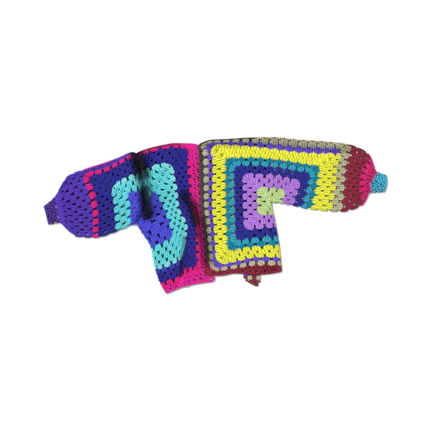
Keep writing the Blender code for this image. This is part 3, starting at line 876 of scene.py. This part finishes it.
def hem_corner():
    """The back hem's corner: burgundy stitches in rows across it, with three groups among them.

    The rows of each column share out the height between the head and foot lines. Each stitch is
    a V that points at the foot, and a group is three strands that lean apart by SPREAD.
    """
    foot_x, foot_y = np.array(CORNER_FOOT).T * MM
    head_x, head_y = np.array(CORNER_HEAD).T * MM
    sets = []
    columns = np.arange(*CORNER_COLUMNS, CORNER_PITCH) * MM
    spots = []
    for x in columns:
        head, foot = np.interp(x, head_x, head_y), np.interp(x, foot_x, foot_y)
        count = max(1, int(round((head - foot) / (CORNER_ROW * MM))))
        spots += [(x, head + (k + 0.5) * (foot - head) / count) for k in range(count)]
    spots = [
        (x, y) for x, y in spots
        if all(np.hypot(x / MM - at_x, y / MM - at_y) > CORNER_CLEAR for at_x, at_y, _ in CORNER_GROUPS)
    ]
    x, y = np.array(spots).T
    t = np.array([-0.5, 0.0, 0.5])
    normal = np.broadcast_to([0.0, 0.0, 1.0], (len(x), 3, 3))
    for hand in (-1, 1):
        centre = np.stack([
            x[:, None] + hand * (1.9 + 1.9 * t) * MM, y[:, None] + CORNER_PITCH * MM * t,
            2.0 * MM + np.array([-0.4, 0.5, 0.0]) * MM + 0 * x[:, None],
        ], -1)
        # each leg's rings carry painted shade, darkest at the foot
        sets.append(tubes(
            centre, normal, np.broadcast_to(np.array([1.5, 2.1, 1.7]) * MM, (len(x), 3)),
            np.broadcast_to(np.array([1.0, 1.3, 1.1]) * MM, (len(x), 3)),
            np.broadcast_to(np.array([0.5, 0.0, 0.3]), (len(x), 3)),
            np.full((len(x), 3), FRONT_INNER), 5, np.full(len(x), INDEX["burgundy"]),
        ))
    t = np.linspace(-0.5, 0.5, 5)
    for x, y, key in CORNER_GROUPS:
        lean = np.array([-1, 0, 1])[:, None]
        centre = np.stack([
            x * MM + lean * SPREAD * GROUP_ROW * MM, y * MM - GROUP_LONG * MM * t + 0 * lean,
            3.0 * MM + HIGH + 0 * lean,
        ], -1)
        wide = np.broadcast_to(WIDE * GROUP_WIDE, (3, 5))
        deep = np.broadcast_to(DEEP * GROUP_DEEP, (3, 5))
        # the groups' rings carry the same painted shade as the motif's
        sets.append(tubes(
            centre, np.broadcast_to([0.0, 0.0, 1.0], (3, 5, 3)), wide, deep,
            np.broadcast_to(DARK, (3, 5)), np.full((3, 5), FRONT_INNER), 6, np.full(3, INDEX[key]),
        ))
    return sets


# Borders of close stitches: inner edge, outer edge and number of rows
RIGHT_BAND = (14.8, 16.1, 2)
RIGHT_NECK_BAND = (15.0, 16.4, 2)
RIGHT_HEM = (14.9, 17.0, 3)
LEFT_BAND = (14.7, 17.0, 3)
LEFT_BORDER = (15.0, 17.0, 3)  # along the neck and the hem
LEFT_SEAM = (15.0, 16.8, 3)
# Where they end along a side, in rows from its middle
RIGHT_BAND_END = 15.6
LEFT_BAND_END = 16.7
HEM_END = 16.6
FOOT_END = -16.8  # of the stretches up the foot of the centre edges
PLUM_FROM = -12  # the left neck band's colour changes here
PURPLE_FROM = 1.0  # and the left seam's here
SEAM_END = 15.0
LEFT_HEM_PITCH = 0.68  # of its stitches, in rows
SEAM_SIZE, SEAM_FOOT, SEAM_TALL = 1.15, 0.42, 0.7  # the right seam's groups are short and wide


def bands(layer, centre, top):
    """The two halves' bands on one layer: close rows up its centre sector and along the neck."""
    charcoal, magenta, plum = INDEX["charcoal"], INDEX["magenta"], INDEX["plum"]
    return {
        f"right_{layer}_band": (
            close_rows("right", centre, *RIGHT_BAND, -BAND_FOOT, RIGHT_BAND_END, charcoal)
            + close_rows("right", top, *RIGHT_NECK_BAND, -RIGHT_BAND_END, NECK, charcoal)
        ),
        f"left_{layer}_band": (
            close_rows("left", centre, *LEFT_BAND, -MOTIF, LEFT_BAND_END, magenta)
            + close_rows("left", top, *LEFT_BORDER, -LEFT_BAND_END, PLUM_FROM, magenta)
            + close_rows("left", top, *LEFT_BORDER, PLUM_FROM, NECK, plum)
        ),
    }


def hem_borders():
    """Close rows along both layers' hems, and up the foot of each centre edge."""
    burgundy, magenta = INDEX["burgundy"], INDEX["magenta"]
    right = close_rows("right", SIDE, *RIGHT_HEM, -HEM_END, HEM_END, burgundy)
    left = close_rows("left", SIDE, *LEFT_BORDER, -HEM_END, HEM_END, magenta, LEFT_HEM_PITCH)
    for k in (CENTRE, BACK_CENTRE):
        right += close_rows("right", k, *RIGHT_BAND, FOOT_END, -BAND_FOOT, burgundy)
        left += close_rows("left", k, *LEFT_BORDER, FOOT_END, -MOTIF, magenta)
    return {"right_hem_border": right, "left_hem_border": left}


def shoulder_seams():
    """The sewn rolls along the tops of both layers: khaki groups on the right half, close rows on
    the left, and sewing stitches over the edge.
    """
    right, left = [], []
    for k in (TOP, BACK_TOP):
        right += groups(
            "right", k, 16, np.arange(NECK + 2.0, 16, 2), INDEX["khaki"], SEAM_SIZE, sewn=True,
            foot=SEAM_FOOT, tall=SEAM_TALL,
        )
        right += whip("right", k, NECK, 15.8, 16.1, RIGHT_TOP, "burgundy")
        left += close_rows("left", k, *LEFT_SEAM, NECK, PURPLE_FROM, INDEX["plum"], sewn=True)
        left += close_rows("left", k, *LEFT_SEAM, PURPLE_FROM, SEAM_END, INDEX["purple"], sewn=True)
        left += whip("left", k, 8.0, SEAM_END, 16.6, LEFT_TOP, "hot_pink")
    return {"right_shoulder_seam": right, "left_shoulder_seam": left}


def main():
    """Every piece of the cardigan, by the CAD node that it stands for."""
    works = {
        "right_motif": motif("right", right_yarn, 16),
        "left_motif": motif("left", left_yarn, 15),
        "right_sleeve_rows": tube_rows("right", 17, 20, "burgundy", 1.1),
        "right_sleeve_gather": tube_rows("right", 21, 22, "rose"),
        "left_sleeve_rows": tube_rows("left", 16, 21, "purple", 1.12)
        + round_sleeve("left", 20.7, 22, 3, 44, "purple"),
        "right_cuff": round_sleeve("right", 22, 26, 6, 14, "cuff_teal"),
        "left_cuff": round_sleeve("left", 22, 26, 5, 14, "dark_purple"),
        "right_back_hem_corner": hem_corner(),
    }
    works |= bands("front", CENTRE, TOP)
    works |= bands("back", BACK_CENTRE, BACK_TOP)
    works |= hem_borders()
    works |= shoulder_seams()
    made = {name: piece(name, sets) for name, sets in works.items()}


# ---------------------------------------------------------------- floor, light and camera

FLOOR_HALF = 4.0  # half the width of the board that the garment lies on, in metres
SKY = 0.56  # strength of the white sky
KEY = 2.75  # strength of the key light, in watts per square metre
KEY_ANGLE = 14  # how wide the key light looks from the garment, in degrees
KEY_TURN = (-22, -30)  # its turns about x and y, in degrees

CAMERA_HEIGHT = 3.5  # in metres
CAMERA_OVER = (-0.0002, 0.0007)  # the middle of the photograph's frame
FRAME_WIDTH = 1.419  # what the photograph's frame spans on the floor, at 3.3 mm a pixel
SENSOR = 36  # width, in millimetres


def stage():
    """A plain pale floor, a soft key light from above, the left and the shoulders, and a white sky."""
    floor_mesh = bpy.data.meshes.new("floor")
    x = FLOOR_HALF
    floor_mesh.from_pydata([(-x, -x, 0), (x, -x, 0), (x, x, 0), (-x, x, 0)], [], [(0, 1, 2, 3)])
    floor = bpy.data.objects.new("floor", floor_mesh)
    paint = bpy.data.materials.new("matt_white_board")
    paint.use_nodes = True
    shader = paint.node_tree.nodes["Principled BSDF"]
    shader.inputs["Base Color"].default_value = linear("#F4F4F4")
    shader.inputs["Roughness"].default_value = 0.9
    shader.inputs["Specular IOR Level"].default_value = 0.1
    floor_mesh.materials.append(paint)
    bpy.context.scene.collection.objects.link(floor)

    world = bpy.data.worlds.new("pale_room")
    world.use_nodes = True
    back = world.node_tree.nodes["Background"]
    back.inputs["Color"].default_value = linear("#FFFFFF")
    back.inputs["Strength"].default_value = SKY
    bpy.context.scene.world = world

    key = bpy.data.lights.new("softbox", "SUN")
    key.energy = KEY
    key.angle = np.radians(KEY_ANGLE)
    lamp = bpy.data.objects.new("softbox", key)
    lamp.rotation_euler = (*np.radians(KEY_TURN), 0)
    bpy.context.scene.collection.objects.link(lamp)


def camera():
    """The photograph's camera: straight above the middle of the garment."""
    lens = bpy.data.cameras.new("camera")
    lens.sensor_width = SENSOR
    lens.lens = SENSOR * CAMERA_HEIGHT / FRAME_WIDTH
    eye = bpy.data.objects.new("camera", lens)
    eye.location = (*CAMERA_OVER, CAMERA_HEIGHT)
    bpy.context.scene.collection.objects.link(eye)
    bpy.context.scene.camera = eye
    bpy.context.scene.view_settings.view_transform = "Standard"


stage()
camera()
main()
